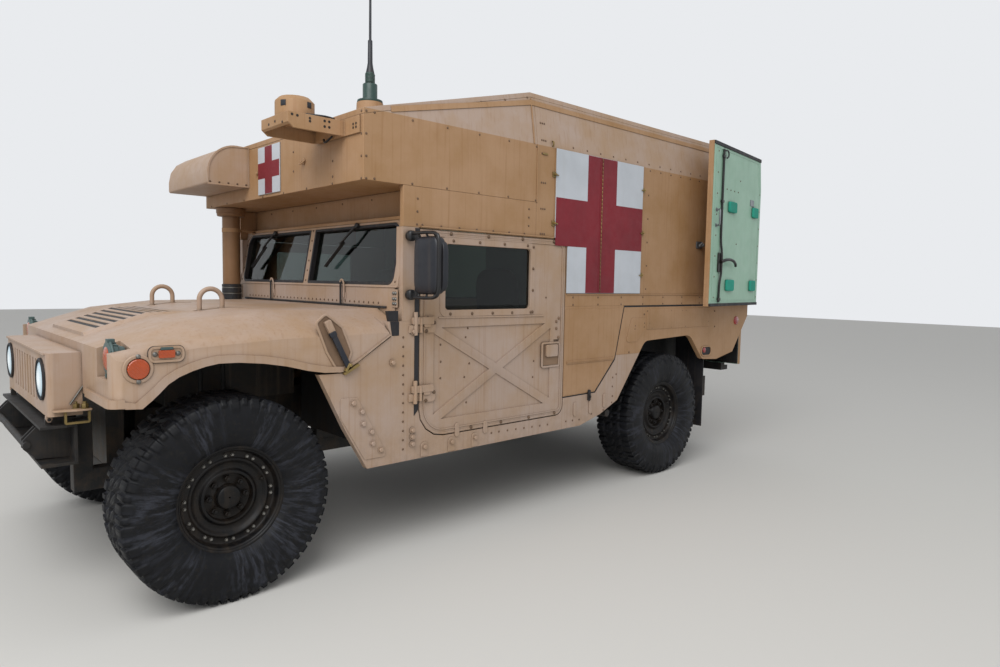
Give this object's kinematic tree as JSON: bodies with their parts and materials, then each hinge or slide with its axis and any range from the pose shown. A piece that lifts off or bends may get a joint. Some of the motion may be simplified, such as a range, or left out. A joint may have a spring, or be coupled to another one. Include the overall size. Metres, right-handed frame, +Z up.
{
  "type": "military ambulance truck",
  "caption": "Four-wheel-drive military ambulance truck with a two-seat cab, a high medical box and rear doors swung open along its sides.",
  "frame": {"origin": "on the ground at the middle of the truck's box", "axes": "+Z up, +X to the truck's left, the front faces -Y"},
  "size_m": [2.66, 5.282, 3.88],
  "materials": {
    "tan_paint": "matt sand-coloured paint over aluminium and steel",
    "tan_plastic": "matt sand-coloured paint over moulded glass fibre",
    "black_steel": "matt black paint over steel",
    "tyre": "worn black rubber with dust",
    "wheel": "black painted steel",
    "rubber": "black rubber",
    "glass": "dark tinted flat glass",
    "lamp": "clear lamp glass",
    "amber": "amber lens in a green housing",
    "white_panel": "white paint with a red cross",
    "green_door": "tan outside, pale green inside",
    "cast": "oily cast metal",
    "aluminium": "plain core",
    "green_paint": "dark green paint",
    "black_plastic": "black moulded plastic",
    "seat": "dark green woven cover",
    "bench": "green coated fabric pads"
  },
  "bodies": {
    "truck": {"chassis_rails": "black_steel", "crossmembers": "black_steel", "front_bumper": "black_steel", "engine": "cast", "radiator": "aluminium", "driveline": "cast", "suspension_arms": "black_steel", "spring_struts": "black_steel", "rear_hubs": "cast", "cab_floor": "tan_paint", "box_floor": "tan_paint", "rockers": "tan_paint", "rear_fenders": "tan_paint", "tail_lamps": "black_steel", "gaskets": "rubber", "cowl": "tan_paint", "windshield_frame": "tan_paint", "windshield_glass": "glass", "cab_top": "tan_paint", "box_sides": "tan_paint", "box_roof": "tan_paint", "overhang": "tan_paint", "bulkhead": "green_door", "rear_frame": "tan_paint", "medical_panels": "white_panel", "nose_housing": "tan_paint", "air_duct": "tan_paint", "sensor_bracket": "tan_paint", "antenna": "green_paint", "mirrors": "black_plastic", "wipers": "black_steel", "exhaust": "black_steel", "mud_flaps": "rubber", "rear_bumper": "black_steel", "lifting_loops": "tan_paint", "cab_seats": "seat", "steering_wheel": "black_plastic", "dashboard": "black_plastic", "litter_benches": "bench"},
    "hood": {"hood": "tan_plastic", "grille": "tan_plastic", "headlights": "lamp", "marker_lamps": "amber"},
    "knuckle_left": {"knuckle_left": "cast"},
    "knuckle_right": {"knuckle_right": "cast"},
    "cab_door_left": {"cab_door_left": "tan_paint", "door_glass_left": "glass"},
    "cab_door_right": {"cab_door_right": "tan_paint", "door_glass_right": "glass"},
    "rear_door_left": {"rear_door_left": "green_door"},
    "rear_door_right": {"rear_door_right": "green_door"},
    "tailgate": {"tailgate": "tan_paint"},
    "wheel_front_left": {"tyre_front_left": "tyre", "wheel_front_left": "wheel"},
    "wheel_front_right": {"tyre_front_right": "tyre", "wheel_front_right": "wheel"},
    "wheel_rear_left": {"tyre_rear_left": "tyre", "wheel_rear_left": "wheel"},
    "wheel_rear_right": {"tyre_rear_right": "tyre", "wheel_rear_right": "wheel"}
  },
  "joints": [
    {"name": "steer_left", "type": "hinge", "parent": "truck", "child": "knuckle_left", "pos_m": [0.77, -1.951, 0.462], "axis": [0, 0, 1], "range_deg": [-30, 30]},
    {"name": "roll_front_left", "type": "hinge", "parent": "knuckle_left", "child": "wheel_front_left", "pos_m": [0.9095, -1.951, 0.462], "axis": [1, 0, 0], "continuous": true},
    {"name": "roll_rear_left", "type": "hinge", "parent": "truck", "child": "wheel_rear_left", "pos_m": [0.9095, 1.351, 0.462], "axis": [1, 0, 0], "continuous": true},
    {"name": "cab_door_left_hinge", "type": "hinge", "parent": "truck", "child": "cab_door_left", "pos_m": [1.078, -0.966, 1.1], "axis": [0, 0, -1], "range_deg": [0, 75]},
    {"name": "rear_door_left_hinge", "type": "hinge", "parent": "truck", "child": "rear_door_left", "pos_m": [1.072, 2.632, 1.9], "axis": [0, 0, 1], "range_deg": [0, 262]},
    {"name": "steer_right", "type": "hinge", "parent": "truck", "child": "knuckle_right", "pos_m": [-0.77, -1.951, 0.462], "axis": [0, 0, 1], "range_deg": [-30, 30]},
    {"name": "roll_front_right", "type": "hinge", "parent": "knuckle_right", "child": "wheel_front_right", "pos_m": [-0.9095, -1.951, 0.462], "axis": [1, 0, 0], "continuous": true},
    {"name": "roll_rear_right", "type": "hinge", "parent": "truck", "child": "wheel_rear_right", "pos_m": [-0.9095, 1.351, 0.462], "axis": [1, 0, 0], "continuous": true},
    {"name": "cab_door_right_hinge", "type": "hinge", "parent": "truck", "child": "cab_door_right", "pos_m": [-1.078, -0.966, 1.1], "axis": [0, 0, 1], "range_deg": [0, 75]},
    {"name": "rear_door_right_hinge", "type": "hinge", "parent": "truck", "child": "rear_door_right", "pos_m": [-1.072, 2.632, 1.9], "axis": [0, 0, -1], "range_deg": [0, 262]},
    {"name": "hood_hinge", "type": "hinge", "parent": "truck", "child": "hood", "pos_m": [0, -2.551, 0.815], "axis": [1, 0, 0], "range_deg": [0, 80]},
    {"name": "tailgate_hinge", "type": "hinge", "parent": "truck", "child": "tailgate", "pos_m": [0, 2.584, 0.75], "axis": [-1, 0, 0], "range_deg": [0, 90]}
  ],
  "couplings": [
    {"joint": "steer_right", "follows": "steer_left", "ratio": 1}
  ]
}
